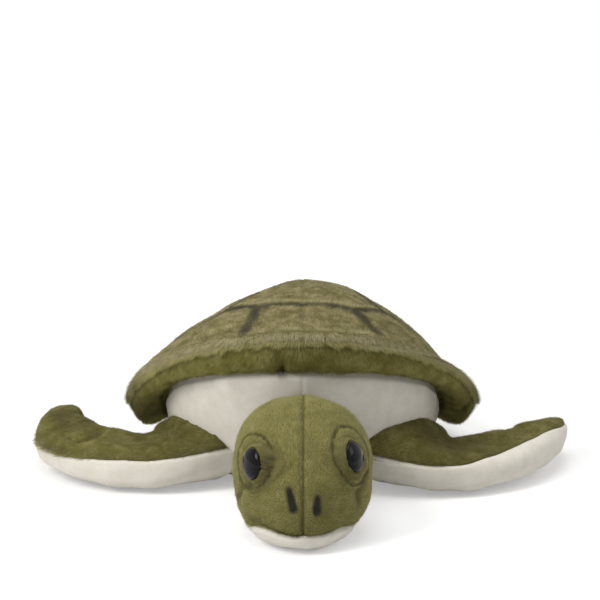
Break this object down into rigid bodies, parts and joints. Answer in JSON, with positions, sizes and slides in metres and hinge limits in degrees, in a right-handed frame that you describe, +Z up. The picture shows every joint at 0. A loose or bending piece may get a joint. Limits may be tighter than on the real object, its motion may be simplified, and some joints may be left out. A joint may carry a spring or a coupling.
{
  "type": "plush sea turtle",
  "caption": "Stuffed plush sea turtle lying on its belly: domed shell with a rolled rim, sewn head with glossy eyes, long front flippers, small rear flippers and a short tail.",
  "frame": {"origin": "on the table, on the flat of the belly, under the middle of the torso", "axes": "+Z up, -Y out of the nose, +X to the right of a viewer who faces the toy; left and right in the names are that viewer's"},
  "size_m": [0.2652, 0.279, 0.0931],
  "materials": {
    "shell_plush": "short mottled pile",
    "green_plush": "soft pile",
    "cream_velour": "short velour",
    "fibre_stuffing": "fibre fill",
    "black_eye_plastic": "gloss",
    "white_washer_plastic": "matte"
  },
  "bodies": {
    "torso": {"shell_panel_left": "shell_plush", "shell_panel_right": "shell_plush", "shell_rim_left": "green_plush", "shell_rim_right": "green_plush", "chest_panel_left": "cream_velour", "chest_panel_right": "cream_velour", "belly_panel": "cream_velour", "torso_stuffing": "fibre_stuffing", "tail_top": "green_plush", "tail_underside": "cream_velour", "tail_stuffing": "fibre_stuffing"},
    "head": {"head_panel_left": "green_plush", "head_panel_right": "green_plush", "chin_panel": "cream_velour", "eye_patch_left": "green_plush", "eye_patch_right": "green_plush", "head_stuffing": "fibre_stuffing", "eye_left": "black_eye_plastic", "eye_right": "black_eye_plastic", "eye_washer_left": "white_washer_plastic", "eye_washer_right": "white_washer_plastic"},
    "front_left_flipper": {"front_left_flipper_top": "green_plush", "front_left_flipper_underside": "cream_velour", "front_left_flipper_stuffing": "fibre_stuffing"},
    "front_right_flipper": {"front_right_flipper_top": "green_plush", "front_right_flipper_underside": "cream_velour", "front_right_flipper_stuffing": "fibre_stuffing"},
    "rear_left_flipper": {"rear_left_flipper_top": "green_plush", "rear_left_flipper_underside": "cream_velour", "rear_left_flipper_stuffing": "fibre_stuffing"},
    "rear_right_flipper": {"rear_right_flipper_top": "green_plush", "rear_right_flipper_underside": "cream_velour", "rear_right_flipper_stuffing": "fibre_stuffing"}
  },
  "joints": [
    {"name": "neck_nod", "type": "hinge", "parent": "torso", "child": "head", "pos_m": [0, -0.092, 0.03], "axis": [-1, 0, 0], "range_deg": [-15, 20], "stiffness_Nm_per_rad": 0.4},
    {"name": "front_left_flap", "type": "hinge", "parent": "torso", "child": "front_left_flipper", "pos_m": [-0.049, -0.049, 0.0185], "axis": [-0.7071, 0.7071, 0], "range_deg": [-14, 12], "stiffness_Nm_per_rad": 0.15},
    {"name": "front_right_flap", "type": "hinge", "parent": "torso", "child": "front_right_flipper", "pos_m": [0.045, -0.056, 0.0185], "axis": [-0.6428, -0.766, 0], "range_deg": [-14, 12], "stiffness_Nm_per_rad": 0.15},
    {"name": "rear_left_flap", "type": "hinge", "parent": "torso", "child": "rear_left_flipper", "pos_m": [-0.0443, 0.0556, 0.0072], "axis": [0.829, 0.5592, 0], "range_deg": [-30, 3], "stiffness_Nm_per_rad": 0.05},
    {"name": "rear_right_flap", "type": "hinge", "parent": "torso", "child": "rear_right_flipper", "pos_m": [0.0443, 0.0556, 0.0072], "axis": [0.829, -0.5592, 0], "range_deg": [-30, 3], "stiffness_Nm_per_rad": 0.05}
  ]
}
